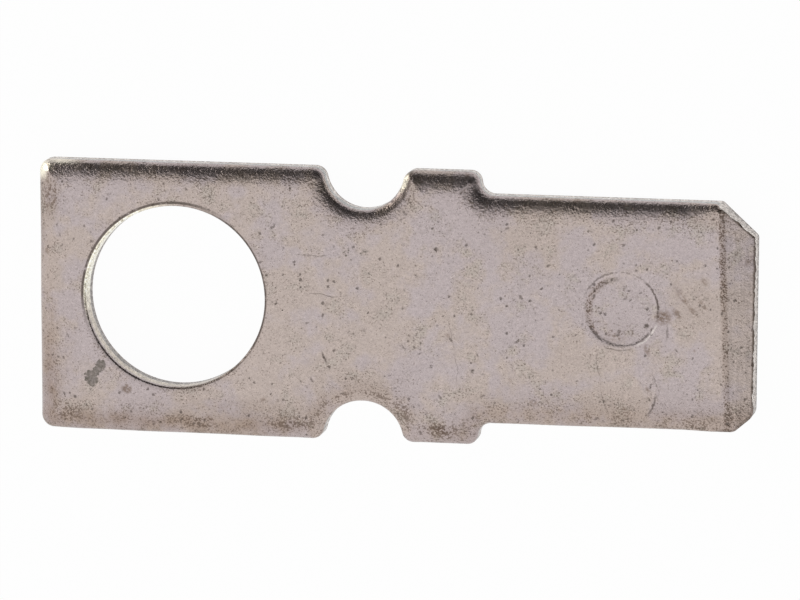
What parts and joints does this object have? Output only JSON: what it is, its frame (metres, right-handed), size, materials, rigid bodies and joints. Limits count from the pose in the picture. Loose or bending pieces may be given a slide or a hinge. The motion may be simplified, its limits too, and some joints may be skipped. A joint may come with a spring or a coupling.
{
  "type": "male spade terminal",
  "caption": "Flat stamped male tab terminal with a screw ring, bend-relief notches, square shoulders, and a dimpled 6.3 mm blade with a coined lead-in.",
  "frame": {"origin": "on the axis of the screw hole, in the plane of the flat back", "axes": "+X along the blade to its tip, +Y across it, +Z out of the face with the rolled edges; the flat back is down"},
  "size_m": [0.02, 0.0076, 0.0008],
  "materials": {
    "tinned_brass": "tarnished matt tin plate over brass"
  },
  "bodies": {
    "root": {"spade_terminal": "tinned_brass"}
  },
  "joints": []
}
